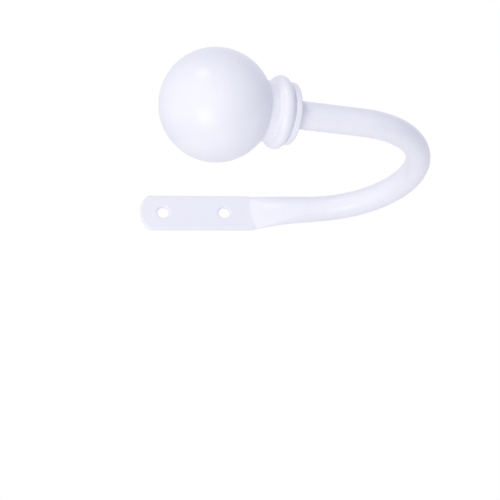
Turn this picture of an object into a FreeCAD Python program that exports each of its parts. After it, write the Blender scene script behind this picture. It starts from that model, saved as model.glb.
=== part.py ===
"""Curtain holdback: a steel tube, bent to a hook and pressed flat into a screw strap, with a ball finial.

Frame: the wall is the plane y = 0 and the room lies at negative y. X runs along the strap, from its
free end towards the bend, and Z is up. The origin is on the wall, midway between the two screw holes.
All sizes are in millimetres.
"""
import FreeCAD, Part
import math
import os
import Sketcher

SIZES = [
    ("tubeDiameter", 13.0, "outside of the round tube"),
    ("tubeWall", 1.2, "wall of the tube"),
    ("strapWidth", 19.5, "width of the end that is pressed flat"),
    ("strapThickness", 2.4, "thickness of the end that is pressed flat"),
    ("strapEdgeRound", 1.1, "rounding of the strap's folded edges"),
    ("strapEndRadius", 13.0, "bow of the strap's free end"),
    ("strapCornerRadius", 3.0, "rounding where the bow meets the sides"),
    ("holeSpacing", 32.0, "between the two screw holes"),
    ("holeDiameter", 6.0, "screw hole"),
    ("endMargin", 12.0, "from a screw hole to the free end"),
    ("pressMargin", 12.4, "from a screw hole to the line where the tube opens"),
    ("straightLength", 30.0, "from that press line to the start of the bend"),
    ("openingLength", 41.0, "from the press line to where the tube is round again"),
    ("flatBackLength", 22.0, "length of the flat back behind the opening tube"),
    ("flatBackWidth", 4.0, "width of the flat back at its far end"),
    ("bendRadius", 46.0, "centreline radius of the bend"),
    ("bendAngle", 169.3, "turn of the bend, in degrees"),
    ("bendFlattening", 0.09, "share of its diameter that the tube loses where it is flattest"),
    ("armLength", 36.0, "from the end of the bend to the finial's back face"),
    ("ballDiameter", 50.8, "ball of the finial"),
    ("neckRadius", 13.9, "neck between ball and bead"),
    ("neckBlend", 0.8, "hollow rounding at both ends of the neck"),
    ("beadPlace", 7.74, "from the ball's edge at the neck to the middle of the bead"),
    ("beadRadius", 16.65, "outside of the bead"),
    ("beadRound", 3.05, "section radius of the bead"),
    ("grooveRadius", 13.0, "bottom of the groove behind the bead"),
    ("ringPlace", 3.8, "from the middle of the bead to the front of the ring"),
    ("ringWidth", 3.1, "width of the ring"),
    ("ringRadius", 14.2, "outside of the ring"),
    ("ringEdgeRound", 0.9, "rounding of the ring's rims"),
    ("socketDepth", 6.0, "depth of the tube's socket in the finial"),
    ("socketClearance", 0.15, "gap round the tube in its socket"),
    ("plugFlange", 1.0, "flange of the plug, on the tube's mouth"),
    ("plugLength", 12.0, "length of the plug inside the tube"),
    ("plugClearance", 0.05, "gap round the plug in the tube"),
    ("studDiameter", 6.0, "threaded stud that carries the finial"),
    ("studInFinial", 14.0, "length of the stud in the finial"),
    ("threadClearance", 0.05, "gap round the stud in its threads"),
]

OPENING_WIDTH_LAW = 1.5
OPENING_HEIGHT_LAW = 2.0
OPENING_SUNK = 0.2
OPENING_STATIONS = 10
FLATTEST_LAW = 2.3
WIDENING_SHARE = 0.3
BEND_STATIONS = 24
BORE_LEAST_HEIGHT = 1.0
BORE_OVERRUN = 2.0
MATCH = 1e-4

doc = FreeCAD.newDocument("CurtainHoldback")


def fill_sheet():
    """Puts the driving dimensions into a sheet, each under its own alias."""
    filled = doc.addObject("Spreadsheet::Sheet", "Sizes")
    for row, (alias, value, note) in enumerate(SIZES, start=1):
        filled.set(f"A{row}", alias)
        filled.set(f"B{row}", str(value))
        filled.set(f"C{row}", note)
        filled.setAlias(f"B{row}", alias)
    doc.recompute()
    return filled


sheet = fill_sheet()


def size(alias):
    """A driving dimension as the sheet holds it."""
    return float(sheet.get(alias))


def bind(feature, **rules):
    """Binds properties of a feature to expressions of the sheet."""
    for name, rule in rules.items():
        feature.setExpression(name, rule)


def new_body(name):
    """An empty body."""
    return doc.addObject("PartDesign::Body", name)


def new_sketch(body, name, role):
    """An empty sketch on the origin plane of the body that has this role."""
    sketch = body.newObject("Sketcher::SketchObject", name)
    plane = next(feature for feature in body.Origin.OriginFeatures if feature.Role == role)
    sketch.AttachmentSupport = (plane, [""])
    sketch.MapMode = "FlatFace"
    return sketch


def bind_point(sketch, edge, end, across=None, along=None):
    """Ties one end of an edge to its distances from the sketch's origin."""
    place = sketch.getPoint(edge, end)
    for kind, rule, value in (("DistanceX", across, place.x), ("DistanceY", along, place.y)):
        if rule is not None:
            index = sketch.addConstraint(Sketcher.Constraint(kind, -1, 1, edge, end, value))
            sketch.setExpression(f"Constraints[{index}]", rule)


def bind_radius(sketch, edge, rule):
    """Ties the radius of an arc or circle."""
    radius = sketch.Geometry[edge].Radius
    index = sketch.addConstraint(Sketcher.Constraint("Radius", edge, radius))
    sketch.setExpression(f"Constraints[{index}]", rule)


def circles_at(shape, radius, height):
    """Names of the circular edges with this radius at this height on the local Z axis."""
    names = []
    for number, edge in enumerate(shape.Edges, start=1):
        if edge.Degenerated or not isinstance(edge.Curve, Part.Circle):
            continue
        if abs(edge.Curve.Radius - radius) < MATCH and abs(edge.Curve.Center.z - height) < MATCH:
            names.append(f"Edge{number}")
    return names


def press_line():
    """X of the line where the flat strap ends and the tube starts to open."""
    return size("holeSpacing") / 2 + size("pressMargin")


def bend_length():
    """Length of the bend along its centreline."""
    return size("bendRadius") * math.radians(size("bendAngle"))


def centreline(travel):
    """Point and direction of the round tube's centreline, travel millimetres after the press line."""
    rise = size("tubeDiameter") / 2
    radius = size("bendRadius")
    turn = min(max(travel - size("straightLength"), 0.0), bend_length()) / radius
    beyond = max(travel - size("straightLength") - bend_length(), 0.0)
    before = min(travel, size("straightLength"))
    along = press_line() + before + radius * math.sin(turn) + beyond * math.cos(turn)
    out = rise + radius * (1 - math.cos(turn)) + beyond * math.sin(turn)
    return FreeCAD.Vector(along, -out, 0), turn


def tube_width(travel):
    """Height of the tube's section above and below the hook's plane, taken together."""
    left = max(1 - travel / size("openingLength"), 0.0)
    widest = size("strapWidth") - 2 * OPENING_SUNK
    opening = (widest - size("tubeDiameter")) * left ** OPENING_WIDTH_LAW
    return size("tubeDiameter") * (1 + WIDENING_SHARE * flattening(travel)) + opening


def tube_thickness(travel):
    """Thickness of the tube's section in the hook's plane."""
    left = max(1 - travel / size("openingLength"), 0.0)
    thinnest = size("strapThickness") - 2 * OPENING_SUNK
    opening = (size("tubeDiameter") - thinnest) * left ** OPENING_HEIGHT_LAW
    return size("tubeDiameter") * (1 - flattening(travel)) - opening


def flattening(travel):
    """Share of the diameter that the bend takes from the tube, most in its later half."""
    share = min(max(travel - size("straightLength"), 0.0) / bend_length(), 1.0)
    return size("bendFlattening") * math.sin(math.pi * share ** FLATTEST_LAW)


def section(name, travel, wall):
    """Ellipse across the tube. Its outer side stays on the outside of the hook, as on a pressed tube."""
    point, turn = centreline(travel)
    thickness = tube_thickness(travel)
    outward = FreeCAD.Vector(math.sin(turn), math.cos(turn), 0)
    forward = FreeCAD.Vector(math.cos(turn), -math.sin(turn), 0)
    pressed = (size("tubeDiameter") * (1 - flattening(travel)) - thickness) / 2
    ellipse = doc.addObject("Part::Ellipse", name)
    ellipse.MajorRadius = tube_width(travel) / 2 - wall
    ellipse.MinorRadius = thickness / 2 - wall
    upright = FreeCAD.Vector(0, 0, 1)
    turned = FreeCAD.Rotation(upright, forward.cross(upright), forward, "XYZ")
    ellipse.Placement = FreeCAD.Placement(point + outward * pressed, turned)
    return ellipse


def evenly(first, last, count):
    """Evenly spaced values from first to last, both included."""
    return [first + (last - first) * number / count for number in range(count + 1)]


def opening_stations():
    """Travel of each section of the straight length, where the pressed tube opens."""
    return evenly(0.0, size("straightLength"), OPENING_STATIONS)


def bend_stations():
    """Travel of each section of the bend."""
    return evenly(size("straightLength"), size("straightLength") + bend_length(), BEND_STATIONS)


def loft(name, travels, wall=0.0):
    """A smooth solid through the tube's sections at these places, its skin a wall inside the tube's."""
    solid = doc.addObject("Part::Loft", name)
    solid.Sections = [section(f"{name}{number}", travel, wall) for number, travel in enumerate(travels)]
    solid.Solid = True
    return solid


def arm_rod(name, radius_rule, length_rule):
    """A straight rod along the arm, from the end of the bend."""
    rod = doc.addObject("Part::Cylinder", name)
    bind(rod, Radius=radius_rule, Height=length_rule)
    end, turn = centreline(size("straightLength") + bend_length())
    forward = FreeCAD.Vector(math.cos(turn), -math.sin(turn), 0)
    rod.Placement = FreeCAD.Placement(end, FreeCAD.Rotation(FreeCAD.Vector(0, 0, 1), forward))
    return rod


def fuse(name, pieces):
    """One solid from touching pieces."""
    whole = doc.addObject("Part::MultiFuse", name)
    whole.Shapes = pieces
    whole.Refine = False
    return whole


def build_tube_outside():
    """Outside of the tube: the opening, the bend and the arm."""
    mouth_rule = "Sizes.armLength + Sizes.socketDepth - Sizes.plugFlange"
    return [
        loft("Opening", opening_stations()),
        loft("Bend", bend_stations()),
        arm_rod("Arm", "Sizes.tubeDiameter / 2", mouth_rule),
    ]


def build_tube_bore():
    """Hollow of the tube, from where its two walls part to past its mouth."""
    wall = size("tubeWall")
    apart = [travel for travel in opening_stations() if tube_thickness(travel) > 2 * wall + BORE_LEAST_HEIGHT]
    mouth_rule = f"Sizes.armLength + Sizes.socketDepth + {BORE_OVERRUN}"
    pieces = [
        loft("OpeningBore", apart, wall),
        loft("BendBore", bend_stations(), wall),
        arm_rod("ArmBore", "Sizes.tubeDiameter / 2 - Sizes.tubeWall", mouth_rule),
    ]
    return fuse("TubeBore", pieces)


def build_strap():
    """Flat strap with its bowed end, two screw holes and the flat back under the opening tube."""
    body = new_body("Strap")
    sketch = new_sketch(body, "StrapOutline", "XZ_Plane")
    half = size("strapWidth") / 2
    bow = size("strapEndRadius")
    tip = -size("holeSpacing") / 2 - size("endMargin")
    shoulder = tip + bow - math.sqrt(bow ** 2 - half ** 2)
    far = press_line() + size("flatBackLength")
    narrow = size("flatBackWidth") / 2
    corners = [(shoulder, half), (press_line(), half), (far, narrow)]
    corners += [(far, -narrow), (press_line(), -half), (shoulder, -half)]
    points = [FreeCAD.Vector(x, y, 0) for x, y in corners]
    for first, last in zip(points, points[1:]):
        sketch.addGeometry(Part.LineSegment(first, last))
    end_arc = sketch.addGeometry(Part.Arc(points[0], FreeCAD.Vector(tip, 0, 0), points[-1]))
    for edge in range(end_arc - 1):
        sketch.addConstraint(Sketcher.Constraint("Coincident", edge, 2, edge + 1, 1))
    sketch.addConstraint(Sketcher.Constraint("Coincident", end_arc - 1, 2, end_arc, 2))
    sketch.addConstraint(Sketcher.Constraint("Coincident", 0, 1, end_arc, 1))
    shoulder_rule = (
        "Sizes.strapEndRadius - Sizes.holeSpacing / 2 - Sizes.endMargin"
        " - sqrt(Sizes.strapEndRadius ^ 2 - (Sizes.strapWidth / 2) ^ 2)"
    )
    bind_point(sketch, 0, 1, shoulder_rule, "Sizes.strapWidth / 2")
    bind_point(sketch, 0, 2, "Sizes.holeSpacing / 2 + Sizes.pressMargin", "Sizes.strapWidth / 2")
    reach = "Sizes.holeSpacing / 2 + Sizes.pressMargin + Sizes.flatBackLength"
    bind_point(sketch, 1, 2, reach, "Sizes.flatBackWidth / 2")
    bind_point(sketch, 2, 2, reach, "-Sizes.flatBackWidth / 2")
    bind_point(sketch, 3, 2, "Sizes.holeSpacing / 2 + Sizes.pressMargin", "-Sizes.strapWidth / 2")
    bind_point(sketch, 4, 2, shoulder_rule, "-Sizes.strapWidth / 2")
    bind_radius(sketch, end_arc, "Sizes.strapEndRadius")
    pad = body.newObject("PartDesign::Pad", "StrapPad")
    pad.Profile = sketch
    bind(pad, Length="Sizes.strapThickness")
    doc.recompute()
    if pad.Shape.BoundBox.YMax > size("strapThickness") / 2:
        pad.Reversed = True
        doc.recompute()
    corner_names = []
    for number, edge in enumerate(pad.Shape.Edges, start=1):
        box = edge.BoundBox
        if box.YLength > size("strapThickness") / 2 and abs(box.Center.x - shoulder) < MATCH:
            corner_names.append(f"Edge{number}")
    corner = body.newObject("PartDesign::Fillet", "StrapCorners")
    corner.Base = (pad, corner_names)
    bind(corner, Radius="Sizes.strapCornerRadius")
    doc.recompute()
    rim_names = []
    for number, edge in enumerate(corner.Shape.Edges, start=1):
        if edge.BoundBox.YLength < MATCH:
            rim_names.append(f"Edge{number}")
    rim = body.newObject("PartDesign::Fillet", "StrapRims")
    rim.Base = (corner, rim_names)
    bind(rim, Radius="Sizes.strapEdgeRound")
    doc.recompute()
    holes = new_sketch(body, "HoleCentres", "XZ_Plane")
    for side in (-1, 1):
        centre = FreeCAD.Vector(side * size("holeSpacing") / 2, 0, 0)
        circle = holes.addGeometry(Part.Circle(centre, FreeCAD.Vector(0, 0, 1), size("holeDiameter") / 2))
        bind_radius(holes, circle, "Sizes.holeDiameter / 2")
        bind_point(holes, circle, 3, f"{side} * Sizes.holeSpacing / 2", "0")
    solid_volume = rim.Shape.Volume
    pocket = body.newObject("PartDesign::Pocket", "ScrewHoles")
    pocket.Profile = holes
    pocket.Type = "ThroughAll"
    pocket.Midplane = True
    doc.recompute()
    bored = math.pi * size("holeDiameter") ** 2 / 4 * size("strapThickness") * 2
    if abs(solid_volume - pocket.Shape.Volume - bored) > bored / 100:
        raise RuntimeError("the screw holes don't go through the strap")
    return body


def build_hook_arm():
    """The tube with its strap, as one piece, hollow from the strap to the mouth."""
    arm = doc.addObject("Part::Cut", "HookArm")
    arm.Base = fuse("HookSolid", [build_strap()] + build_tube_outside())
    arm.Tool = build_tube_bore()
    arm.Refine = False
    return arm


def neck_start():
    """From the ball's pole to the ball's edge at the neck."""
    ball = size("ballDiameter") / 2
    return ball + math.sqrt(ball ** 2 - size("neckRadius") ** 2)


def finial_length():
    """From the ball's pole to the finial's back face."""
    return neck_start() + size("beadPlace") + size("ringPlace") + size("ringWidth")


def build_ball_finial():
    """Turned finial: ball, neck, bead, groove and ring, with a socket and a stud hole in its back."""
    body = new_body("BallFinial")
    sketch = new_sketch(body, "FinialProfile", "XZ_Plane")
    ball = size("ballDiameter") / 2
    neck = size("neckRadius")
    groove = size("grooveRadius")
    bead_round = size("beadRound")
    bead_place = neck_start() + size("beadPlace")
    bead_centre = size("beadRadius") - bead_round
    ring_front = bead_place + size("ringPlace")
    back = finial_length()
    socket = size("tubeDiameter") / 2 + size("socketClearance")
    floor = back - size("socketDepth")
    stud = size("studDiameter") / 2 + size("threadClearance")
    stud_end = floor - size("studInFinial")
    bead_start = bead_place - math.sqrt(bead_round ** 2 - (neck - bead_centre) ** 2)
    bead_end = bead_place + math.sqrt(bead_round ** 2 - (groove - bead_centre) ** 2)
    path = [(neck, neck_start()), (neck, bead_start), (groove, bead_end), (groove, ring_front)]
    path += [(size("ringRadius"), ring_front), (size("ringRadius"), back), (socket, back)]
    path += [(socket, floor), (stud, floor), (stud, stud_end), (0, stud_end), (0, 0)]
    points = [FreeCAD.Vector(x, y, 0) for x, y in path]
    for number, (first, last) in enumerate(zip(points, points[1:])):
        if number == 1:
            crest = FreeCAD.Vector(size("beadRadius"), bead_place, 0)
            sketch.addGeometry(Part.Arc(first, crest, last))
        else:
            sketch.addGeometry(Part.LineSegment(first, last))
    side = FreeCAD.Vector(ball, ball, 0)
    round_edge = sketch.addGeometry(Part.Arc(points[-1], side, points[0]))
    ends = {}
    for edge in range(round_edge + 1):
        start = sketch.getPoint(edge, 1)
        goal = points[edge] if edge < round_edge else points[-1]
        ends[edge] = (1, 2) if start.distanceToPoint(goal) < MATCH else (2, 1)
    for edge in range(round_edge + 1):
        following = (edge + 1) % (round_edge + 1)
        sketch.addConstraint(
            Sketcher.Constraint("Coincident", edge, ends[edge][1], following, ends[following][0])
        )
    half_ball = "Sizes.ballDiameter / 2"
    bead_rule = f"{half_ball} + sqrt(({half_ball}) ^ 2 - Sizes.neckRadius ^ 2) + Sizes.beadPlace"
    ring_rule = f"{bead_rule} + Sizes.ringPlace"
    back_rule = f"{ring_rule} + Sizes.ringWidth"
    floor_rule = f"{back_rule} - Sizes.socketDepth"
    socket_rule = "Sizes.tubeDiameter / 2 + Sizes.socketClearance"
    stud_rule = "Sizes.studDiameter / 2 + Sizes.threadClearance"
    bind_point(sketch, round_edge, 3, "0", half_ball)
    bind_radius(sketch, round_edge, half_ball)
    bind_point(sketch, 0, 1, across="Sizes.neckRadius")
    bind_point(sketch, 0, 2, across="Sizes.neckRadius")
    bind_point(sketch, 1, 3, "Sizes.beadRadius - Sizes.beadRound", bead_rule)
    bind_radius(sketch, 1, "Sizes.beadRound")
    bind_point(sketch, 2, 1, across="Sizes.grooveRadius")
    bind_point(sketch, 2, 2, "Sizes.grooveRadius", ring_rule)
    bind_point(sketch, 3, 2, "Sizes.ringRadius", ring_rule)
    bind_point(sketch, 4, 2, "Sizes.ringRadius", back_rule)
    bind_point(sketch, 5, 2, socket_rule, back_rule)
    bind_point(sketch, 6, 2, socket_rule, floor_rule)
    bind_point(sketch, 7, 2, stud_rule, floor_rule)
    bind_point(sketch, 8, 2, stud_rule, f"{floor_rule} - Sizes.studInFinial")
    bind_point(sketch, 9, 2, "0", f"{floor_rule} - Sizes.studInFinial")
    bind_point(sketch, 10, 2, across="0")
    turned = body.newObject("PartDesign::Revolution", "FinialTurned")
    turned.Profile = sketch
    turned.ReferenceAxis = (sketch, ["V_Axis"])
    turned.Angle = 360
    doc.recompute()
    rims = circles_at(turned.Shape, size("ringRadius"), ring_front)
    rims += circles_at(turned.Shape, size("ringRadius"), back)
    rounded = body.newObject("PartDesign::Fillet", "RingRims")
    rounded.Base = (turned, rims)
    bind(rounded, Radius="Sizes.ringEdgeRound")
    doc.recompute()
    hollows = circles_at(rounded.Shape, neck, neck_start())
    hollows += circles_at(rounded.Shape, neck, bead_start)
    blended = body.newObject("PartDesign::Fillet", "NeckHollows")
    blended.Base = (rounded, hollows)
    bind(blended, Radius="Sizes.neckBlend")
    doc.recompute()
    return body


def build_finial_stud():
    """Stud that joins the finial to the plug, along the local Z axis from the finial's stud hole."""
    body = new_body("FinialStud")
    stud = body.newObject("PartDesign::AdditiveCylinder", "StudRod")
    bind(stud, Radius="Sizes.studDiameter / 2")
    bind(stud, Height="Sizes.studInFinial + Sizes.plugFlange + Sizes.plugLength")
    return body


def build_tube_end_plug():
    """Flanged plug in the tube's mouth, along the local Z axis from the socket's floor into the tube."""
    body = new_body("TubeEndPlug")
    flange = body.newObject("PartDesign::AdditiveCylinder", "PlugFlange")
    bind(flange, Radius="Sizes.tubeDiameter / 2", Height="Sizes.plugFlange")
    barrel = body.newObject("PartDesign::AdditiveCylinder", "PlugBarrel")
    bind(barrel, Radius="Sizes.tubeDiameter / 2 - Sizes.tubeWall - Sizes.plugClearance")
    bind(barrel, Height="Sizes.plugFlange + Sizes.plugLength")
    thread = body.newObject("PartDesign::SubtractiveCylinder", "PlugThread")
    bind(thread, Radius="Sizes.studDiameter / 2 + Sizes.threadClearance")
    bind(thread, Height="Sizes.plugFlange + Sizes.plugLength")
    return body


def place_on_arm(body, from_back_face):
    """Places a body on the arm's axis, its local Z towards the bend, from the finial's back face."""
    end, turn = centreline(size("straightLength") + bend_length())
    forward = FreeCAD.Vector(math.cos(turn), -math.sin(turn), 0)
    back_face = end + forward * size("armLength")
    towards_bend = FreeCAD.Rotation(FreeCAD.Vector(0, 0, 1), -forward)
    body.Placement = FreeCAD.Placement(back_face + forward * from_back_face, towards_bend)


hook_arm = build_hook_arm()
ball_finial = build_ball_finial()
finial_stud = build_finial_stud()
tube_end_plug = build_tube_end_plug()
place_on_arm(ball_finial, finial_length())
place_on_arm(finial_stud, size("socketDepth") + size("studInFinial"))
place_on_arm(tube_end_plug, size("socketDepth"))
doc.recompute()

NODES = {
    "hook_arm": hook_arm,
    "ball_finial": ball_finial,
    "finial_stud": finial_stud,
    "tube_end_plug": tube_end_plug,
}

for item in doc.Objects:
    if "Invalid" in item.State or "Error" in item.State:
        raise RuntimeError(f"{item.Name} failed: {item.State}")

os.makedirs("parts", exist_ok=True)
for node, item in NODES.items():
    item.Label = node
    shape = item.Shape
    if shape.isNull() or not shape.isValid():
        raise RuntimeError(f"{node} has no valid shape")
    shape.exportStep(f"parts/{node}.step")
    box = shape.BoundBox
    print(
        f"{node}: {len(shape.Solids)} solid, {shape.Volume:.0f} mm3,"
        f" x {box.XMin:.2f}..{box.XMax:.2f}, y {box.YMin:.2f}..{box.YMax:.2f}, z {box.ZMin:.2f}..{box.ZMax:.2f}"
    )
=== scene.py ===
import math

import bmesh
import bpy
import numpy as np
from bpy.props import FloatProperty, FloatVectorProperty, PointerProperty
from mathutils import Matrix, Vector


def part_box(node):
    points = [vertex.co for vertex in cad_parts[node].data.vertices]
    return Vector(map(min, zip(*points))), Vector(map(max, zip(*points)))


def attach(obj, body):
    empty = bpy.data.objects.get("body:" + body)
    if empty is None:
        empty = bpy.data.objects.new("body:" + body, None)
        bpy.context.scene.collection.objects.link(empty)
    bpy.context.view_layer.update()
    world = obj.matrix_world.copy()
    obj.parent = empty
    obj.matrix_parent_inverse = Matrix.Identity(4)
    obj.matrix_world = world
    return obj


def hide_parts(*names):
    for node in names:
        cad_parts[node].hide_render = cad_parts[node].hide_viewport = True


bl_info = {
    "name": "Curtain holdback",
    "version": (1, 0, 0),
    "blender": (4, 5, 0),
    "location": "3D View > Sidebar > Holdback",
    "description": "Enamelled hook of pressed tube with a turned ball finial",
    "category": "Add Mesh",
}

# The wall is the plane y = 0 and the room lies at negative y. X runs along the strap and Z is up. Metres.
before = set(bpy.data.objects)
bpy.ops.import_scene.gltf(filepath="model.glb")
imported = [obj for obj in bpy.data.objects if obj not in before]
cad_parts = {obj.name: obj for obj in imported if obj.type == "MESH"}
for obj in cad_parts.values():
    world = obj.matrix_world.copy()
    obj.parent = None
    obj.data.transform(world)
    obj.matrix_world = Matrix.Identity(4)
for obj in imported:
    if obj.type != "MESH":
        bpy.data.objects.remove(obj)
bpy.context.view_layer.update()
MM = 0.001

# How far a new piece may be off the node that it stands for, and the angle from which an edge is sharp.
FIT = 0.3 * MM
SHARP_ANGLE = math.radians(32)
# Least value that a length or a share is divided by.
TINY = 1e-9

# Powers to which the opening's width, its height and the place of the bend's flattest section are raised.
OPENING_WIDTH_LAW = 1.5
OPENING_HEIGHT_LAW = 2.0
FLATTEST_LAW = 2.3
# Share of the flattening by which the tube widens, and the height of the hollow where its walls part.
WIDENING_SHARE = 0.3
BORE_LEAST_HEIGHT = 1.0 * MM

# Lengths and counts of the hook's grid: the gap behind the end's corners, the fine zone at the crease,
# the steps along each stretch, and the rays that find the opening's outline.
CORNER_GAP = 1.0 * MM
CREASE_ZONE = 4.0 * MM
BOW_STEPS = 20
CORNER_STEPS = 6
RIM_STEPS = 6
WINDOW_STEPS = 12
WINDOW_RINGS = 4
CREASE_STEPS = 24
OPENING_STEPS = 48
BEND_STEPS = 128
ARM_STEPS = 24
RAYS = 1441

# Counts of the finial's grid.
FINIAL_COLUMNS = 224
RING_RIM_STEPS = 8
GROOVE_STEPS = 12
BEAD_STEPS = 28
HOLLOW_STEPS = 6
BALL_STEPS = 128

# Finish of the enamel and the metal: the clouds' middle range, widths and detail, and each roughness.
CLOUD_LOW, CLOUD_HIGH = 0.3, 0.7
COAT_CLOUD, COAT_DETAIL = 14.0 * MM, 3.0
GLOSS_CLOUD, GLOSS_DETAIL = 5.0 * MM, 2.0
PEEL_DETAIL = 1.5
METAL_CLOUD, METAL_DETAIL = 3.0 * MM, 4.0
METAL_DARKER = 0.86
ENAMEL_IOR = 1.5
ENAMEL_SPECULAR = 0.2
HOOK_ROUGHNESS = (0.28, 0.34)
FINIAL_ROUGHNESS = (0.27, 0.33)
THREAD_ROUGHNESS = (0.30, 0.45)
TURNED_ROUGHNESS = (0.35, 0.50)
FLOOR_ROUGHNESS = 0.8
WHITE = (1.0, 1.0, 1.0)
# Radians through which a wave pattern of scale 1 runs in one metre.
WAVE_TURN = 20.0

# Sockets of a colour mix: its share, its two colours and its result.
MIX_SHARE, MIX_FIRST, MIX_SECOND, MIX_RESULT = 0, 6, 7, 2

# The point that the camera turns about, the middle of the ball, and the ways from the ball to the lamps.
AIM = Vector((0.080, -0.056, 0.0))
LIT = Vector((0.0, -0.11, 0.0))
LAMP_DISTANCE = 1.20
UPPER_LAMP_WAY = Vector((-0.42, -0.69, 0.59))
LOWER_LAMP_WAY = Vector((-0.45, -0.49, -0.75))
FLOOR_HALF = 40.0
SENSOR_WIDTH = 36.0
NEAR_CLIP = 0.01


def extent(node, axis):
    """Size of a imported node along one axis, to a tenth of a millimetre."""
    low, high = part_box(node)
    return round(high[axis] - low[axis], 4)


def length(name, value, description):
    """A length that a user can change, in metres."""
    return FloatProperty(
        name=name, description=description, default=value, min=0.0, precision=5,
        subtype="DISTANCE", unit="LENGTH",
    )


def share(name, value, description):
    """A share between none and all."""
    return FloatProperty(
        name=name, description=description, default=value, min=0.0, max=1.0, subtype="FACTOR",
    )


def angle(name, degrees, description):
    """An angle that a user can change."""
    return FloatProperty(
        name=name, description=description, default=math.radians(degrees), subtype="ANGLE", unit="ROTATION",
    )


def colour(name, value, description):
    """A colour, as the shader reads it."""
    return FloatVectorProperty(
        name=name, description=description, default=value, size=3, min=0.0, max=1.0, subtype="COLOR",
    )


def power(name, watts, description):
    """Power of a lamp."""
    return FloatProperty(
        name=name, description=description, default=watts, min=0.0, subtype="POWER", unit="POWER",
    )


class HookSizes(bpy.types.PropertyGroup):
    """Sizes of the bent tube and its pressed strap."""

    tube_diameter: length("Tube", extent("tube_end_plug", 2), "Outside of the round tube")
    tube_wall: length("Tube wall", 1.2 * MM, "Wall of the tube")
    strap_width: length("Strap width", extent("hook_arm", 2), "Width of the end that is pressed flat")
    strap_thickness: length("Strap thickness", 2.4 * MM, "Thickness of the end that is pressed flat")
    strap_rim: length("Strap edge", 1.1 * MM, "Rounding of the strap's folded edges")
    end_radius: length("End bow", 13.0 * MM, "Bow of the strap's free end")
    corner_radius: length("End corners", 3.0 * MM, "Rounding where the bow meets the sides")
    hole_spacing: length("Hole spacing", 32.0 * MM, "Between the two screw holes")
    hole_diameter: length("Holes", 6.0 * MM, "Screw hole")
    hole_edge: length("Hole edge", 0.95 * MM, "Soft edge of the enamel round a screw hole")
    end_margin: length("End margin", 12.0 * MM, "From a screw hole to the free end")
    press_margin: length("Press margin", 12.4 * MM, "From a screw hole to the line where the tube opens")
    press_fillet: length("Press crease", 0.5 * MM, "Softness of the crease where the tube opens")
    press_slant: length("Press slant", 1.8 * MM, "How much further on the crease lies at its lower end")
    straight: length("Straight", 30.0 * MM, "From the press line to the start of the bend")
    opening: length("Opening", 41.0 * MM, "From the press line to where the tube is round again")
    opening_sunk: length("Sunk start", 0.2 * MM, "How far the opening starts inside the strap's skin")
    flat_back: length("Flat back", 22.0 * MM, "Length of the flat back behind the opening tube")
    flat_back_width: length("Flat back end", 4.0 * MM, "Width of the flat back at its far end")
    bend_radius: length("Bend", 46.0 * MM, "Centreline radius of the bend")
    bend_angle: angle("Bend angle", 169.3, "Turn of the bend")
    flattest: share("Bend flattening", 0.09, "Share of its diameter that the tube loses where it is flattest")
    arm: length("Arm", 36.0 * MM, "From the end of the bend to the finial's back face")
    mouth_depth: length("Mouth", 5.0 * MM, "How far the tube reaches into the finial")


class FinialSizes(bpy.types.PropertyGroup):
    """Sizes of the turned ball finial."""

    ball_diameter: length("Ball", extent("ball_finial", 2), "Ball of the finial")
    neck_radius: length("Neck", 13.9 * MM, "Neck between ball and bead")
    neck_hollow: length("Neck hollows", 0.8 * MM, "Hollow rounding at both ends of the neck")
    bead_place: length("Bead place", 7.74 * MM, "From the ball's edge at the neck to the middle of the bead")
    bead_radius: length("Bead", 16.65 * MM, "Outside of the bead")
    bead_round: length("Bead rounding", 3.05 * MM, "Section radius of the bead")
    groove_radius: length("Groove", 13.0 * MM, "Bottom of the groove behind the bead")
    groove_fill: length("Groove fill", 0.65 * MM, "Depth of the enamel that gathers in the groove")
    ring_place: length("Ring place", 3.8 * MM, "From the middle of the bead to the front of the ring")
    ring_width: length("Ring width", 3.1 * MM, "Width of the ring")
    ring_radius: length("Ring", 14.2 * MM, "Outside of the ring")
    ring_rim: length("Ring rims", 0.9 * MM, "Rounding of the ring's rims")
    socket_depth: length("Socket depth", 6.0 * MM, "Depth of the tube's socket")
    socket_gap: length("Socket gap", 0.15 * MM, "Gap round the tube in its socket")
    stud_gap: length("Thread gap", 0.05 * MM, "Gap round the stud in the finial")
    stud_diameter: length("Stud", extent("finial_stud", 2), "Threaded stud that carries the finial")
    stud_depth: length("Stud depth", 14.0 * MM, "Length of the stud in the finial")


class FinishColours(bpy.types.PropertyGroup):
    """Colours and surface of the enamel and the metal."""

    enamel: colour("Enamel", (0.845, 0.845, 0.905), "Cool white enamel of the hook")
    enamel_thin: colour("Thin enamel", (0.825, 0.825, 0.895), "Enamel where its coat is thinner")
    finial: colour("Finial", (0.84, 0.84, 0.90), "Cool white gloss of the finial")
    finial_thin: colour("Thin gloss", (0.82, 0.82, 0.89), "Gloss where its coat is thinner")
    zinc: colour("Zinc", (0.62, 0.63, 0.66), "Zinc-plated steel of the stud")
    steel: colour("Steel", (0.50, 0.50, 0.52), "Bare steel of the plug")
    peel_size: length("Peel size", 2.2 * MM, "Width of the enamel's fine waves")
    peel_depth: length("Peel depth", 0.003 * MM, "Depth of the enamel's fine waves")
    thread_pitch: length("Thread pitch", 1.0 * MM, "From one turn of the stud's thread to the next")
    thread_depth: length("Thread depth", 0.3 * MM, "Depth of the stud's thread")
    turning_pitch: length("Turning pitch", 0.25 * MM, "From one turning mark on the plug to the next")
    turning_depth: length("Turning depth", 0.01 * MM, "Depth of the turning marks on the plug")


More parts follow.
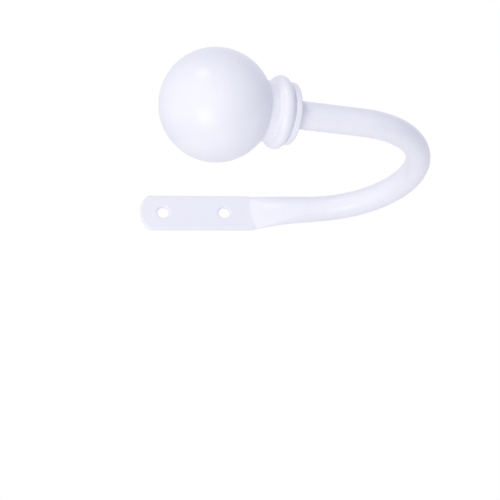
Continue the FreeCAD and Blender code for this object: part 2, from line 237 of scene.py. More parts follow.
class StageSettings(bpy.types.PropertyGroup):
    """Camera, lamps and floor."""

    azimuth: angle("Azimuth", 11.21, "Turn of the view about the upright")
    elevation: angle("Elevation", -23.73, "Height of the view, from below")
    roll: angle("Roll", -4.59, "Turn of the picture")
    distance: length("Distance", 626.8 * MM, "From the camera to the aim")
    aside: length("Aside", 58.4 * MM, "How far the picture's middle lies left of the aim")
    below: length("Below", 41.6 * MM, "How far the picture's middle lies below the aim")
    lens: FloatProperty(name="Lens", description="Focal length, in millimetres", default=91.7, min=1.0)
    floor_drop: length("Floor", 1100.0 * MM, "From the mount down to the floor")
    upper_lamp: power("Upper lamp", 2.95, "Soft lamp above the viewer's left shoulder")
    lower_lamp: power("Lower lamp", 5.75, "Soft lamp below the viewer's left hand")
    upper_size: length("Upper lamp size", 220.0 * MM, "Width of the upper lamp")
    lower_size: length("Lower lamp size", 560.0 * MM, "Width of the lower lamp")
    lamp_colour: colour("Lamp colour", (1.0, 1.0, 0.86), "Slightly warm light of the lamps")
    room_light: FloatProperty(name="Room light", description="Light from all round", default=0.79, min=0.0)
    room_colour: colour("Room colour", (0.87, 0.875, 1.0), "Slightly cool light from all round")
    floor_colour: colour("Floor colour", (0.90, 0.90, 0.91), "Plain pale floor")
    floor_lift: colour("Floor lift", (0.28, 0.28, 0.16), "What the camera sees added to the floor's colour")


def smooth(value):
    """Goes from 0 to 1 as the value does, level at both ends: 3v^2 - 2v^3."""
    value = np.clip(value, 0.0, 1.0)
    return value * value * (3 - 2 * value)


def steps_between(start, end, steps):
    """Even steps from the start to the end, the end with them and the start not."""
    return np.linspace(start, end, steps + 1)[1:]


def numbered(points, first):
    """Vertex numbers of a grid of points, counted on from the first."""
    return first + np.arange(points.shape[0] * points.shape[1]).reshape(points.shape[:2])


def closed(index):
    """A grid of vertex numbers with its first column again at its end, so that it closes on itself."""
    return np.concatenate([index, index[:, :1]], axis=1)


def grid_cells(index):
    """The four corners of each cell of a grid of vertex numbers."""
    return np.stack([index[:-1, :-1], index[:-1, 1:], index[1:, 1:], index[1:, :-1]], axis=-1)


def grid_faces(index):
    """Four-sided faces of a grid of vertex numbers, one for each cell."""
    return grid_cells(index).reshape(-1, 4)


def fan_faces(ring, middle):
    """Three-sided faces from each side of a closed ring to one vertex in its middle."""
    return np.stack([ring, np.roll(ring, -1), np.full_like(ring, middle)], axis=-1)


def make_piece(name, vertices, faces):
    """A closed mesh object at the origin, its faces outwards, smooth but for its sharp edges."""
    mesh = bpy.data.meshes.new(name)
    mesh.from_pydata(vertices.tolist(), [], faces)
    work = bmesh.new()
    work.from_mesh(mesh)
    bmesh.ops.recalc_face_normals(work, faces=work.faces)
    if any(not edge.is_manifold for edge in work.edges):
        raise RuntimeError(f"{name} has an open edge")
    if work.calc_volume(signed=True) < 0:
        bmesh.ops.reverse_faces(work, faces=work.faces)
    work.to_mesh(mesh)
    work.free()
    mesh.shade_smooth()
    mesh.set_sharp_from_angle(angle=SHARP_ANGLE)
    piece = bpy.data.objects.new(name, mesh)
    bpy.context.scene.collection.objects.link(piece)
    return piece


def stand_for(piece, node, material):
    """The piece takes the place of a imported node, with its finish."""
    low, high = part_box(node)
    corners = np.array(piece.bound_box)
    off = max(np.abs(corners.min(0) - low).max(), np.abs(corners.max(0) - high).max())
    if off > FIT:
        raise RuntimeError(f"{piece.name} is {off / MM:.2f} mm off the packed {node}")
    piece.data.materials.append(material)
    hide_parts(node)
    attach(piece, "root")


def press_line(hook):
    """X of the line where the flat strap ends and the tube starts to open."""
    return hook.hole_spacing / 2 + hook.press_margin


def bend_length(hook):
    """Length of the bend along its centreline: radius times angle."""
    return hook.bend_radius * hook.bend_angle


def centreline(hook, travel):
    """Points of the round tube's axis and the turn there: a straight run, an arc and a straight run again."""
    turn = np.clip(travel - hook.straight, 0.0, bend_length(hook)) / hook.bend_radius
    before = np.minimum(travel, hook.straight)
    beyond = np.maximum(travel - hook.straight - bend_length(hook), 0.0)
    along = press_line(hook) + before + hook.bend_radius * np.sin(turn) + beyond * np.cos(turn)
    out = hook.tube_diameter / 2 + hook.bend_radius * (1 - np.cos(turn)) + beyond * np.sin(turn)
    return np.stack([along, -out, np.zeros_like(along)], axis=-1), turn


def arm_end(hook):
    """Middle of the finial's back face, and the direction of the arm there."""
    travel = np.array([hook.straight + bend_length(hook) + hook.arm])
    point, turn = centreline(hook, travel)
    return point[0], np.array([math.cos(turn[0]), -math.sin(turn[0]), 0.0])


def flattening(hook, travel):
    """Share of the diameter lost in the bend: a sine of the share of the bend raised to a power."""
    part = np.clip((travel - hook.straight) / bend_length(hook), 0.0, 1.0)
    return hook.flattest * np.sin(np.pi * part ** FLATTEST_LAW)


def tube_section(hook, travel):
    """Half width and half thickness of the tube, and its outer side's distance from the axis.

    The strap's width is lost, and the tube's height gained, with a power of the opening still to come.
    """
    left = np.maximum(1 - travel / hook.opening, 0.0)
    lost = flattening(hook, travel)
    widest = hook.strap_width - 2 * hook.opening_sunk
    thinnest = hook.strap_thickness - 2 * hook.opening_sunk
    width = hook.tube_diameter * (1 + WIDENING_SHARE * lost)
    width = width + (widest - hook.tube_diameter) * left ** OPENING_WIDTH_LAW
    outer = hook.tube_diameter * (1 - lost) / 2
    thickness = 2 * outer - (hook.tube_diameter - thinnest) * left ** OPENING_HEIGHT_LAW
    return width / 2, thickness / 2, outer


def plate_reach(across, out, half_width, half_thickness, rim):
    """Distance from the middle of a flat plate to its skin along each ray: a rectangle with round corners."""
    across, out = np.abs(across), np.abs(out)
    side = half_width / np.maximum(across, TINY)
    face = half_thickness / np.maximum(out, TINY)
    reach = np.minimum(side, face)
    corner_across, corner_out = half_width - rim, half_thickness - rim
    nearest = across * corner_across + out * corner_out
    inside = nearest ** 2 - corner_across ** 2 - corner_out ** 2 + rim ** 2
    round_reach = nearest + np.sqrt(np.maximum(inside, 0.0))
    at_corner = (reach * across > corner_across) & (reach * out > corner_out)
    return np.where(at_corner, round_reach, reach)


def ellipse_reach(across, out, half_width, half_thickness, shift):
    """Distance along each ray to an ellipse whose middle lies a shift behind the rays' start.

    It is the positive root of the ellipse's equation along the ray.
    """
    square = (across / half_width) ** 2 + (out / half_thickness) ** 2
    linear = out * shift / half_thickness ** 2
    rest = (shift / half_thickness) ** 2 - 1
    return (np.sqrt(linear ** 2 - square * rest) - linear) / square


def soft_larger(first, second, width):
    """The larger of two values, plus a parabola over the width where they cross, which rounds the step."""
    near = np.maximum(width - np.abs(first - second), 0.0) / np.maximum(width, TINY)
    return np.maximum(first, second) + near ** 2 * width / 4


def opened_outline(hook, travel):
    """Half outline of strap and tube together, from the back's middle over the upper side to the front's.

    Rays fan out from inside both. On each ray the outline is the further of the flat plate and the ellipse.
    """
    ray = np.linspace(0.0, np.pi, RAYS)
    across, out = np.sin(ray)[None, :], np.cos(ray)[None, :]
    half_width, half_thickness, outer = (value[:, None] for value in tube_section(hook, travel))
    on_plate = (travel < hook.flat_back)[:, None]
    plate_half = hook.strap_thickness / 2
    pole = np.where(on_plate, plate_half, half_thickness)
    reach = ellipse_reach(across, out, half_width, half_thickness, half_thickness - pole)
    part = np.clip(travel / hook.flat_back, 0.0, 1.0)[:, None]
    plate_width = (hook.strap_width + (hook.flat_back_width - hook.strap_width) * part) / 2
    plate = plate_reach(across, out, plate_width, plate_half, hook.strap_rim)
    crease = hook.press_fillet * smooth(travel / (2 * hook.press_fillet))[:, None]
    reach = np.where(on_plate, soft_larger(plate, reach, crease), reach)
    level = np.minimum(outer - pole + reach * out, outer)
    return reach * across, level


def run_along(across, level):
    """Share of each outline's length that lies before each of its points."""
    steps = np.hypot(np.diff(across, axis=1), np.diff(level, axis=1))
    run = np.concatenate([np.zeros((len(steps), 1)), np.cumsum(steps, axis=1)], axis=1)
    return run / run[:, -1:]


def spread_along(across, level, places):
    """Points of each outline at given shares of its length."""
    run = run_along(across, level)
    rows = range(len(run))
    return (
        np.array([np.interp(places[row], run[row], across[row]) for row in rows]),
        np.array([np.interp(places[row], run[row], level[row]) for row in rows]),
    )


def end_outline(hook):
    """Inner edge of the free end's rim, from the middle to the side, and the direction out of it.

    It is the bow and then the corner, each an arc drawn in by the rim's radius.
    """
    rim = hook.strap_rim
    bow_middle = -hook.hole_spacing / 2 - hook.end_margin + hook.end_radius
    corner_height = hook.strap_width / 2 - hook.corner_radius
    reach = hook.end_radius - hook.corner_radius
    corner_middle = bow_middle - math.sqrt(reach ** 2 - corner_height ** 2)
    meet = math.asin(corner_height / reach)
    on_bow = np.linspace(0.0, meet, BOW_STEPS + 1)
    on_corner = steps_between(meet, np.pi / 2, CORNER_STEPS)
    bow = (hook.end_radius - rim) * np.stack([-np.cos(on_bow), np.sin(on_bow)], axis=-1)
    corner = (hook.corner_radius - rim) * np.stack([-np.cos(on_corner), np.sin(on_corner)], axis=-1)
    points = np.concatenate([bow + (bow_middle, 0.0), corner + (corner_middle, corner_height)])
    bearing = np.concatenate([on_bow, on_corner])
    return points, np.stack([-np.cos(bearing), np.sin(bearing)], axis=-1)


def rim_profile(hook):
    """Quarter turn, short flat and quarter turn of the rim.

    Given are the distance outwards and the level above the strap's back.
    """
    quarter = np.linspace(0.0, np.pi / 2, RIM_STEPS + 1)
    rim = hook.strap_rim
    outwards = np.concatenate([rim * np.sin(quarter), rim * np.cos(quarter)])
    front = rim - hook.strap_thickness
    level = np.concatenate([-rim + rim * np.cos(quarter), front - rim * np.sin(quarter)])
    return outwards, level


def hook_stations(hook):
    """X of each strap section from the free end's corner to the press line, and the holes' first sections.

    Each hole lies in a window of finer sections.
    """
    edge, _ = end_outline(hook)
    half_window = edge[WINDOW_STEPS, 1]
    near, far = -hook.hole_spacing / 2, hook.hole_spacing / 2
    sides = [near - half_window, near + half_window, far - half_window, far + half_window]
    span = 2 * WINDOW_STEPS
    stations = [[edge[-1, 0] + CORNER_GAP, sides[0]]]
    for start, end in zip(sides, sides[1:]):
        stations.append(steps_between(start, end, span))
    stations.append(steps_between(sides[-1], press_line(hook), WINDOW_STEPS))
    return np.concatenate(stations), (1, 1 + 2 * span)


def at_level(places, level):
    """Rows of points given by their places along and up the wall, each row set out from it to its level."""
    out = np.broadcast_to(level[:, None], places.shape[:2])
    return np.stack([places[..., 0], out, places[..., 1]], axis=-1)


def hole_patch(hook, centre, rim_points):
    """Rings from a window in the front over a hole's soft edges and wall to the same window in the back.

    Each ring's points lie between the window's edge and the circle at the same bearing.
    """
    radius, edge, thick = hook.hole_diameter / 2, hook.hole_edge, hook.strap_thickness
    bearing = np.arctan2(rim_points[:, 1], rim_points[:, 0] - centre)
    unit = np.stack([np.cos(bearing), np.sin(bearing)], axis=-1)
    circle = (radius + edge) * unit + (centre, 0.0)
    blend = steps_between(0.0, 1.0, WINDOW_RINGS)[:, None, None]
    flat = rim_points + (circle - rim_points) * blend
    quarter = steps_between(0.0, np.pi / 2, RIM_STEPS)
    reach = radius + edge * (1 - np.sin(quarter))
    depth = edge * (1 - np.cos(quarter))
    wall = reach[:, None, None] * unit + (centre, 0.0)
    front = np.concatenate([flat, wall])
    level = np.concatenate([np.zeros(WINDOW_RINGS), depth])
    return at_level(np.concatenate([front, front[::-1]]), np.concatenate([level - thick, -level[::-1]]))


def strap_columns(hook):
    """Half outline of the flat strap, from the back's middle to the front's, and the end's reach there.

    It runs flat to the folded edge, round it, and flat back again.
    """
    edge, _ = end_outline(hook)
    outwards, level = rim_profile(hook)
    flat = edge[:, 1]
    across = np.concatenate([flat[:-1], flat[-1] + outwards, flat[::-1][1:]])
    front = np.full(len(flat) - 1, -hook.strap_thickness)
    levels = np.concatenate([np.zeros(len(flat) - 1), level, front])
    reach = np.concatenate([edge[:-1, 0], np.full(len(outwards), edge[-1, 0]), edge[::-1, 0][1:]])
    return across, levels, reach


def hook_skin(hook):
    """Grid of the hook's outside, from the free end to the mouth: sections carried along the bent axis."""
    across, level, reach = strap_columns(hook)
    half = len(across)
    stations, windows = hook_stations(hook)
    cap = np.linspace(1.0, 0.0, WINDOW_STEPS + 1)[:-1, None]
    cap_x = stations[0] + (reach - stations[0]) * cap
    strap_x = np.concatenate([cap_x, np.repeat(stations[:, None], half, axis=1)])
    rows = len(strap_x)
    strap = np.stack([strap_x, np.tile(level, (rows, 1)), np.tile(across, (rows, 1))], axis=-1)

    travel = tube_travel(hook)
    dense_across, dense_level = opened_outline(hook, travel)
    own = run_along(across[None], level[None])
    even = np.linspace(0.0, 1.0, half)
    change = smooth(travel / hook.opening)[:, None]
    tube_across, tube_level = spread_along(dense_across, dense_level, own + (even - own) * change)
    upper = np.concatenate([strap, carry(hook, travel, tube_across, tube_level)])
    lower = upper * (1.0, 1.0, -1.0)
    skin = np.concatenate([upper, lower[:, -2:0:-1]], axis=1)
    return skin, [WINDOW_STEPS + start for start in windows]


def tube_travel(hook):
    """Travel of each section after the press line: dense where the tube opens, coarse along the arm."""
    bend_end = hook.straight + bend_length(hook)
    mouth = bend_end + hook.arm + hook.mouth_depth
    return np.concatenate([
        steps_between(0.0, CREASE_ZONE, CREASE_STEPS),
        steps_between(CREASE_ZONE, hook.straight, OPENING_STEPS),
        steps_between(hook.straight, bend_end, BEND_STEPS),
        steps_between(bend_end, mouth, ARM_STEPS),
    ])


def carry(hook, travel, across, level):
    """Places section points on the bent axis: level is measured outwards from it, across is up."""
    point, turn = centreline(hook, travel)
    outward = np.stack([np.sin(turn), np.cos(turn), np.zeros_like(turn)], axis=-1)
    placed = point[:, None, :] + outward[:, None, :] * level[..., None]
    placed[..., 2] += across
    return placed


def askew(hook, points):
    """Points moved along X near the press line, because the press didn't meet the tube square.

    The move is largest at the lower end. It grows between the hole's window and the press line, and is gone
    again where the flat back ends.
    """
    window = hook.hole_spacing / 2 + hook.strap_width / 2
    line = press_line(hook)
    along, out, up = points[:, 0], points[:, 1], points[:, 2]
    grown = smooth((along - window + hook.strap_rim) / (line - window + hook.strap_rim))
    gone = smooth((along - line) / hook.flat_back)
    at_wall = out > -hook.bend_radius
    lower = np.clip(0.5 - up / hook.strap_width, 0.0, 1.0)
    moved = points.copy()
    moved[:, 0] += np.where(at_wall, hook.press_slant * grown * (1 - gone) * lower, 0.0)
    return moved


def hook_bore(hook, columns):
    """Grid of the tube's hollow, from its mouth back to where its walls part.

    Its sections are ellipses a wall smaller all round than the tube's, on the same axis.
    """
    travel = tube_travel(hook)[::-1]
    half_width, half_thickness, outer = tube_section(hook, travel)
    open_here = half_thickness > hook.tube_wall + BORE_LEAST_HEIGHT / 2
    travel, outer = travel[open_here], outer[open_here, None]
    half_width = half_width[open_here, None]
    half_thickness = half_thickness[open_here, None]
    around = np.linspace(0.0, 2 * np.pi, columns, endpoint=False)[None, :]
    across = (half_width - hook.tube_wall) * np.sin(around)
    level = outer - half_thickness + (half_thickness - hook.tube_wall) * np.cos(around)
    return carry(hook, travel, across, level)


def window_path(start, span):
    """Rows and places of the points round a square window, once round."""
    up = np.arange(span)
    rows = np.concatenate([start + up, np.full(span, start + span), start + span - up, np.full(span, start)])
    places = np.concatenate([np.zeros(span, int), up, np.full(span, span), span - up])
    return rows, places


def end_patch(hook, first_row, count):
    """Rim of the free end: its profile carried along the bow and both corners.

    The patch's border is the first row of the skin, so only the points inside it are new.
    """
    edge, direction = end_outline(hook)
    edge = np.concatenate([edge[::-1], edge[1:] * (1.0, -1.0)])
    direction = np.concatenate([direction[::-1], direction[1:] * (1.0, -1.0)])
    outwards, level = (values[::-1] for values in rim_profile(hook))
    flat = len(edge) // 2
    columns = len(first_row)
    half = columns // 2
    index = np.empty((len(outwards), len(edge)), int)
    index[0] = first_row[half - flat:half + flat + 1]
    index[-1] = first_row[np.arange(flat, -flat - 1, -1) % columns]
    index[:, 0] = first_row[np.arange(half - flat, flat - 1, -1)]
    index[:, -1] = first_row[np.arange(half + flat, columns - flat + 1)]
    inside = edge[None, 1:-1] + direction[None, 1:-1] * outwards[1:-1, None, None]
    points = at_level(inside, level[1:-1])
    index[1:-1, 1:-1] = numbered(points, count)
    return points.reshape(-1, 3), index


def hook_mesh(hook):
    """Vertices and faces of the hook: skin, mouth, bore, free end and the two screw holes."""
    skin, windows = hook_skin(hook)
    columns = skin.shape[1]
    bore = hook_bore(hook, columns)
    vertices = [skin.reshape(-1, 3), bore.reshape(-1, 3)]
    index = numbered(skin, 0)
    bore_index = numbered(bore, index.size)
    count = index.size + bore_index.size
    cells = grid_cells(closed(index))
    kept = np.ones(cells.shape[:2], bool)
    half = columns // 2
    front = np.arange(half - WINDOW_STEPS, half + WINDOW_STEPS + 1)
    back = np.arange(WINDOW_STEPS, -WINDOW_STEPS - 1, -1) % columns
    span = 2 * WINDOW_STEPS
    faces = []
    for start, side in zip(windows, (-1, 1)):
        kept[start:start + span, front[:-1]] = False
        kept[start:start + span, back[1:]] = False
        rows, places = window_path(start, span)
        outer_ring = index[rows, front[places]]
        inner_ring = index[rows, back[places]]
        edge = vertices[0][outer_ring][:, [0, 2]]
        patch = hole_patch(hook, side * hook.hole_spacing / 2, edge)
        patch_index = numbered(patch, count)
        count += patch_index.size
        vertices.append(patch.reshape(-1, 3))
        rings = np.concatenate([outer_ring[None], patch_index, inner_ring[None]])
        faces.append(grid_faces(closed(rings)))
    faces.append(cells[kept])
    end_points, end_index = end_patch(hook, index[0], count)
    vertices.append(end_points)
    count += len(end_points)
    faces.append(grid_faces(end_index))
    faces.append(grid_faces(closed(np.concatenate([index[-1:], bore_index]))))
    vertices.append(bore[-1].mean(0)[None])
    closing = fan_faces(bore_index[-1], count)
    return askew(hook, np.concatenate(vertices)), np.concatenate(faces).tolist() + closing.tolist()


def arc(middle, radius, start, end, steps):
    """Points of an arc in the profile's plane, the angle counted from outwards towards the back."""
    bearing = np.radians(np.linspace(start, end, steps + 1))
    return np.stack([middle[0] + radius * np.cos(bearing), middle[1] + radius * np.sin(bearing)], axis=-1)


def finial_profile(finial, tube_diameter):
    """Profile of the finial, from the stud hole's end over its back, ring, groove, bead and neck to the pole.

    Each point is its distance from the axis and its distance behind the ball's middle. The groove is a round
    hollow that touches its own bottom, the ring's face and the bead.
    """
    ball, neck, hollow = finial.ball_diameter / 2, finial.neck_radius, finial.neck_hollow
    bead_middle = finial.bead_radius - finial.bead_round
    bead = math.sqrt(ball ** 2 - neck ** 2) + finial.bead_place
    ring = bead + finial.ring_place
    back = ring + finial.ring_width
    rim = finial.ring_rim
    socket = tube_diameter / 2 + finial.socket_gap
    stud = finial.stud_diameter / 2 + finial.stud_gap
    seat = back - finial.socket_depth
    groove = finial.groove_radius + finial.groove_fill
    deeper = groove - bead_middle
    reach = finial.bead_round - deeper + finial.ring_place
    apart = finial.ring_place ** 2 - finial.bead_round ** 2 + deeper ** 2
    scoop = reach - math.sqrt(reach ** 2 - apart)
    bead_edge = math.degrees(math.atan2(finial.ring_place - scoop, deeper + scoop))
    hollow_middle = neck + hollow
    from_bead = math.sqrt((finial.bead_round + hollow) ** 2 - (hollow_middle - bead_middle) ** 2)
    from_ball = math.sqrt((ball + hollow) ** 2 - hollow_middle ** 2)
    bead_turn = math.degrees(math.atan2(from_bead, hollow_middle - bead_middle))
    ball_turn = math.degrees(math.atan2(from_ball, hollow_middle))
    inner = np.array([(0.0, seat - finial.stud_depth), (stud, seat - finial.stud_depth), (stud, seat)])
    shoulder = np.array([(socket, seat), (socket, back)])
    ring_edge = finial.ring_radius - rim
    return np.concatenate([
        inner,
        shoulder,
        arc((ring_edge, back - rim), rim, 90, 0, RING_RIM_STEPS),
        arc((ring_edge, ring + rim), rim, 0, -90, RING_RIM_STEPS),
        arc((groove + scoop, ring - scoop), scoop, 90, 180 + bead_edge, GROOVE_STEPS),
        arc((bead_middle, bead), finial.bead_round, bead_edge, -bead_turn, BEAD_STEPS)[1:],
        arc((hollow_middle, bead - from_bead), hollow, 180 - bead_turn, 180, HOLLOW_STEPS),
        arc((hollow_middle, from_ball), hollow, 180, 180 + ball_turn, HOLLOW_STEPS),
        arc((0.0, 0.0), ball, ball_turn, -90, BALL_STEPS)[1:],
    ])


def finial_mesh(finial, hook):
    """Vertices and faces of the finial: its profile turned about the arm's axis, closed at both poles."""
    profile = finial_profile(finial, hook.tube_diameter)
    back_face, forward = arm_end(hook)
    back = profile[:, 1].max()
    turn = np.linspace(0.0, 2 * np.pi, FINIAL_COLUMNS, endpoint=False)
    upright = np.array([0.0, 0.0, 1.0])
    sideways = np.cross(forward, upright)
    spokes = np.cos(turn)[:, None] * upright + np.sin(turn)[:, None] * sideways
    middle = back_face + forward * back
    axis_points = middle - forward * profile[:, 1:]
    rings = axis_points[1:-1, None, :] + profile[1:-1, :1, None] * spokes
    index = numbered(rings, 0)
    vertices = np.concatenate([rings.reshape(-1, 3), axis_points[[0, -1]]])
    caps = np.concatenate([fan_faces(index[0], index.size), fan_faces(index[-1], index.size + 1)])
    return vertices, grid_faces(closed(index)).tolist() + caps.tolist()


def new_material(name):
    """A node material, its nodes and links, and its shader."""
    material = bpy.data.materials.new(name)
    material.use_nodes = True
    nodes = material.node_tree.nodes
    return material, nodes, material.node_tree.links, nodes["Principled BSDF"]


def noise(nodes, links, place, width, detail):
    """Cloudy pattern whose lumps are about this wide."""
    cloud = nodes.new("ShaderNodeTexNoise")
    cloud.inputs["Scale"].default_value = 1.0 / width
    cloud.inputs["Detail"].default_value = detail
    links.new(place, cloud.inputs["Vector"])
    return cloud.outputs["Fac"]


def ranged(nodes, links, value, low, high):
    """Carries a cloudy pattern from its middle range to the range between two values."""
    ramp = nodes.new("ShaderNodeMapRange")
    ramp.inputs["From Min"].default_value = CLOUD_LOW
    ramp.inputs["From Max"].default_value = CLOUD_HIGH
    ramp.inputs["To Min"].default_value = low
    ramp.inputs["To Max"].default_value = high
    links.new(value, ramp.inputs["Value"])
    return ramp.outputs["Result"]


def two_tones(nodes, links, share_of_second, first, second):
    """Mixes two colours by a pattern."""
    mix = nodes.new("ShaderNodeMix")
    mix.data_type = "RGBA"
    mix.inputs[MIX_FIRST].default_value = (*first, 1.0)
    mix.inputs[MIX_SECOND].default_value = (*second, 1.0)
    links.new(share_of_second, mix.inputs[MIX_SHARE])
    return mix.outputs[MIX_RESULT]


def bumped(nodes, links, shader, height, depth):
    """Raises the shader's surface by a pattern, as deep as given."""
    bump = nodes.new("ShaderNodeBump")
    bump.inputs["Strength"].default_value = 1.0
    bump.inputs["Distance"].default_value = depth
    links.new(height, bump.inputs["Height"])
    links.new(bump.outputs["Normal"], shader.inputs["Normal"])


def enamel(name, thick, thin, finish, roughness):
    """Sprayed enamel: a fine orange peel, a coat that varies a little in depth, and a soft gloss."""
    material, nodes, links, shader = new_material(name)
    place = nodes.new("ShaderNodeTexCoord").outputs["Object"]
    coat = ranged(nodes, links, noise(nodes, links, place, COAT_CLOUD, COAT_DETAIL), 0.0, 1.0)
    links.new(two_tones(nodes, links, coat, thick, thin), shader.inputs["Base Color"])
    gloss = noise(nodes, links, place, GLOSS_CLOUD, GLOSS_DETAIL)
    links.new(ranged(nodes, links, gloss, *roughness), shader.inputs["Roughness"])
    peel = noise(nodes, links, place, finish.peel_size, PEEL_DETAIL)
    bumped(nodes, links, shader, peel, finish.peel_depth)
    shader.inputs["IOR"].default_value = ENAMEL_IOR
    shader.inputs["Specular IOR Level"].default_value = ENAMEL_SPECULAR
    return material


def drawn_metal(name, tone, along, pitch, depth, roughness):
    """Metal with fine rings across its axis: a wave along the axis, with a cloud that breaks up its gloss."""
    material, nodes, links, shader = new_material(name)
    place = nodes.new("ShaderNodeTexCoord").outputs["Object"]
    turned = nodes.new("ShaderNodeMapping")
    turned.inputs["Rotation"].default_value = (0.0, 0.0, -along)
    links.new(place, turned.inputs["Vector"])
    wave = nodes.new("ShaderNodeTexWave")
    wave.wave_type = "BANDS"
    wave.bands_direction = "X"
    wave.inputs["Scale"].default_value = 2 * math.pi / (WAVE_TURN * pitch)
    wave.inputs["Distortion"].default_value = 0.0
    links.new(turned.outputs["Vector"], wave.inputs["Vector"])
    bumped(nodes, links, shader, wave.outputs["Fac"], depth)
    cloud = noise(nodes, links, place, METAL_CLOUD, METAL_DETAIL)
    links.new(ranged(nodes, links, cloud, *roughness), shader.inputs["Roughness"])
    darker = tuple(channel * METAL_DARKER for channel in tone)
    shade = ranged(nodes, links, cloud, 0.0, 1.0)
    links.new(two_tones(nodes, links, shade, tone, darker), shader.inputs["Base Color"])
    shader.inputs["Metallic"].default_value = 1.0
    return material


def dress_node(node, material):
    """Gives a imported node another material."""
    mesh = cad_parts[node].data
    mesh.materials.clear()
    mesh.materials.append(material)


def arm_bearing(hook):
    """Bearing of the arm's axis in the plane of the hook."""
    _, forward = arm_end(hook)
    return math.atan2(forward[1], forward[0])


class HOLDBACK_OT_hook(bpy.types.Operator):
    """Build the enamelled hook: tube bent round, pressed to a strap with two screw holes"""

    bl_idname = "holdback.hook"
    bl_label = "Hook"

    def execute(self, context):
        hook, finish = context.scene.holdback_hook, context.scene.holdback_finish
        vertices, faces = hook_mesh(hook)
        piece = make_piece("enamelled_hook", vertices, faces)
        coat = enamel("Hook enamel", finish.enamel, finish.enamel_thin, finish, HOOK_ROUGHNESS)
        stand_for(piece, "hook_arm", coat)
        return {"FINISHED"}


class HOLDBACK_OT_finial(bpy.types.Operator):
    """Build the turned finial: ball, neck, bead, groove and ring"""

    bl_idname = "holdback.finial"
    bl_label = "Ball finial"

    def execute(self, context):
        scene = context.scene
        vertices, faces = finial_mesh(scene.holdback_finial, scene.holdback_hook)
        piece = make_piece("gloss_ball_finial", vertices, faces)
        finish = scene.holdback_finish
        coat = enamel("Finial gloss", finish.finial, finish.finial_thin, finish, FINIAL_ROUGHNESS)
        stand_for(piece, "ball_finial", coat)
        return {"FINISHED"}


class HOLDBACK_OT_fixings(bpy.types.Operator):
    """Finish the threaded stud and the plug in the tube's mouth"""

    bl_idname = "holdback.fixings"
    bl_label = "Stud and plug"

    def execute(self, context):
        finish, along = context.scene.holdback_finish, arm_bearing(context.scene.holdback_hook)
        dress_node("finial_stud", drawn_metal(
            "Zinc thread", finish.zinc, along, finish.thread_pitch, finish.thread_depth, THREAD_ROUGHNESS,
        ))
        dress_node("tube_end_plug", drawn_metal(
            "Turned steel", finish.steel, along, finish.turning_pitch, finish.turning_depth, TURNED_ROUGHNESS,
        ))
        return {"FINISHED"}


def add_lamp(stage, name, way, size, watts):
    """A square soft lamp in a direction from the middle of the ball, which it lights."""
    light = bpy.data.lights.new(name, "AREA")
    light.energy = watts
    light.size = size
    light.color = stage.lamp_colour
    lamp = bpy.data.objects.new(name, light)
    lamp.location = LIT + way.normalized() * LAMP_DISTANCE
    lamp.rotation_euler = way.to_track_quat("Z", "Y").to_euler()
    lamp.visible_camera = False
    bpy.context.scene.collection.objects.link(lamp)


def add_camera(stage):
    """Camera from its azimuth, elevation and roll about the aim, moved aside and back."""
    turn, height, roll = stage.azimuth, stage.elevation, stage.roll
    back = Vector((-math.sin(turn) * math.cos(height), -math.cos(turn) * math.cos(height), math.sin(height)))
    level = Vector((0.0, 0.0, 1.0)).cross(back).normalized()
    upright = back.cross(level)
    right = math.cos(roll) * level + math.sin(roll) * upright
    top = -math.sin(roll) * level + math.cos(roll) * upright
    lens = bpy.data.cameras.new("Camera")
    lens.sensor_width = SENSOR_WIDTH
    lens.lens = stage.lens
    lens.clip_start = NEAR_CLIP
    camera = bpy.data.objects.new("Camera", lens)
    place = AIM - right * stage.aside - top * stage.below + back * stage.distance
    camera.matrix_world = Matrix((
        (right.x, top.x, back.x, place.x),
        (right.y, top.y, back.y, place.y),
        (right.z, top.z, back.z, place.z),
        (0.0, 0.0, 0.0, 1.0),
    ))
    bpy.context.scene.collection.objects.link(camera)
    bpy.context.scene.camera = camera


def seen_directly(nodes, links):
    """One where a ray comes from the camera, a mirror or glass, and nought where it only brings light."""
    rays = nodes.new("ShaderNodeLightPath")
    seen = rays.outputs["Is Camera Ray"]
    for kind in ("Is Glossy Ray", "Is Transmission Ray"):
        larger = nodes.new("ShaderNodeMath")
        larger.operation = "MAXIMUM"
        links.new(seen, larger.inputs[0])
        links.new(rays.outputs[kind], larger.inputs[1])
        seen = larger.outputs["Value"]
    return seen


def add_room(stage):
    """White room: full white where it is seen, mirrored or seen through, and softer as light."""
    world = bpy.data.worlds.new("Room")
    world.use_nodes = True
    nodes, links = world.node_tree.nodes, world.node_tree.links
    backdrop = nodes["Background"]
    seen = seen_directly(nodes, links)
    strength = nodes.new("ShaderNodeMapRange")
    strength.inputs["To Min"].default_value = stage.room_light
    strength.inputs["To Max"].default_value = 1.0
    links.new(seen, strength.inputs["Value"])
    links.new(strength.outputs["Result"], backdrop.inputs["Strength"])
    links.new(two_tones(nodes, links, seen, stage.room_colour, WHITE), backdrop.inputs["Color"])
    bpy.context.scene.world = world


def add_floor(stage):
    """Wide pale floor under the hanging hook, lifted to near white where it is seen."""
    half = FLOOR_HALF
    corners = np.array([(-half, -half), (half, -half), (half, half), (-half, half)])
    vertices = np.concatenate([corners, np.full((4, 1), -stage.floor_drop)], axis=1)
    mesh = bpy.data.meshes.new("Floor")
    mesh.from_pydata(vertices.tolist(), [], [(0, 1, 2, 3)])
    floor = bpy.data.objects.new("Floor", mesh)
    bpy.context.scene.collection.objects.link(floor)
    material, nodes, links, shader = new_material("Floor")
    shader.inputs["Base Color"].default_value = (*stage.floor_colour, 1.0)
    shader.inputs["Roughness"].default_value = FLOOR_ROUGHNESS
    shader.inputs["Emission Color"].default_value = (*stage.floor_lift, 1.0)
    links.new(seen_directly(nodes, links), shader.inputs["Emission Strength"])
    mesh.materials.append(material)


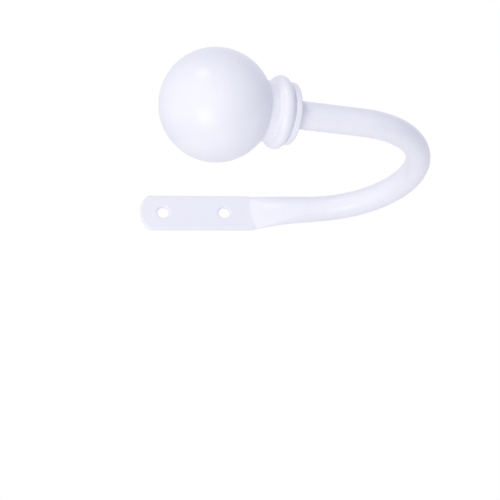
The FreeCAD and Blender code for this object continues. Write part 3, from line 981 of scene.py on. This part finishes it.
class HOLDBACK_OT_stage(bpy.types.Operator):
    """Set up the pale floor, the soft lamps, the white room and the camera"""

    bl_idname = "holdback.stage"
    bl_label = "Stage"

    def execute(self, context):
        stage = context.scene.holdback_stage
        add_floor(stage)
        add_room(stage)
        add_lamp(stage, "Upper lamp", UPPER_LAMP_WAY, stage.upper_size, stage.upper_lamp)
        add_lamp(stage, "Lower lamp", LOWER_LAMP_WAY, stage.lower_size, stage.lower_lamp)
        add_camera(stage)
        context.scene.view_settings.view_transform = "Standard"
        return {"FINISHED"}


OPERATORS = (HOLDBACK_OT_hook, HOLDBACK_OT_finial, HOLDBACK_OT_fixings, HOLDBACK_OT_stage)
GROUPS = {
    "holdback_hook": HookSizes,
    "holdback_finial": FinialSizes,
    "holdback_finish": FinishColours,
    "holdback_stage": StageSettings,
}


class HOLDBACK_PT_sidebar(bpy.types.Panel):
    """Builds the holdback's pieces and its stage"""

    bl_idname = "HOLDBACK_PT_sidebar"
    bl_label = "Curtain holdback"
    bl_space_type = "VIEW_3D"
    bl_region_type = "UI"
    bl_category = "Holdback"

    def draw(self, context):
        for operator in OPERATORS:
            self.layout.operator(operator.bl_idname)
        for name, group in GROUPS.items():
            box = self.layout.box()
            for prop in group.__annotations__:
                box.prop(getattr(context.scene, name), prop)


def register():
    """Adds the sizes and colours, the operators and the panel."""
    for group in GROUPS.values():
        bpy.utils.register_class(group)
    for name, group in GROUPS.items():
        setattr(bpy.types.Scene, name, PointerProperty(type=group))
    for operator in OPERATORS:
        bpy.utils.register_class(operator)
    bpy.utils.register_class(HOLDBACK_PT_sidebar)


def unregister():
    """Takes away what register adds, in the opposite order."""
    bpy.utils.unregister_class(HOLDBACK_PT_sidebar)
    for operator in reversed(OPERATORS):
        bpy.utils.unregister_class(operator)
    for name in GROUPS:
        delattr(bpy.types.Scene, name)
    for group in reversed(tuple(GROUPS.values())):
        bpy.utils.unregister_class(group)


def main():
    """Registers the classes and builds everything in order."""
    register()
    bpy.ops.holdback.hook()
    bpy.ops.holdback.finial()
    bpy.ops.holdback.fixings()
    bpy.ops.holdback.stage()


if __name__ == "__main__":
    main()
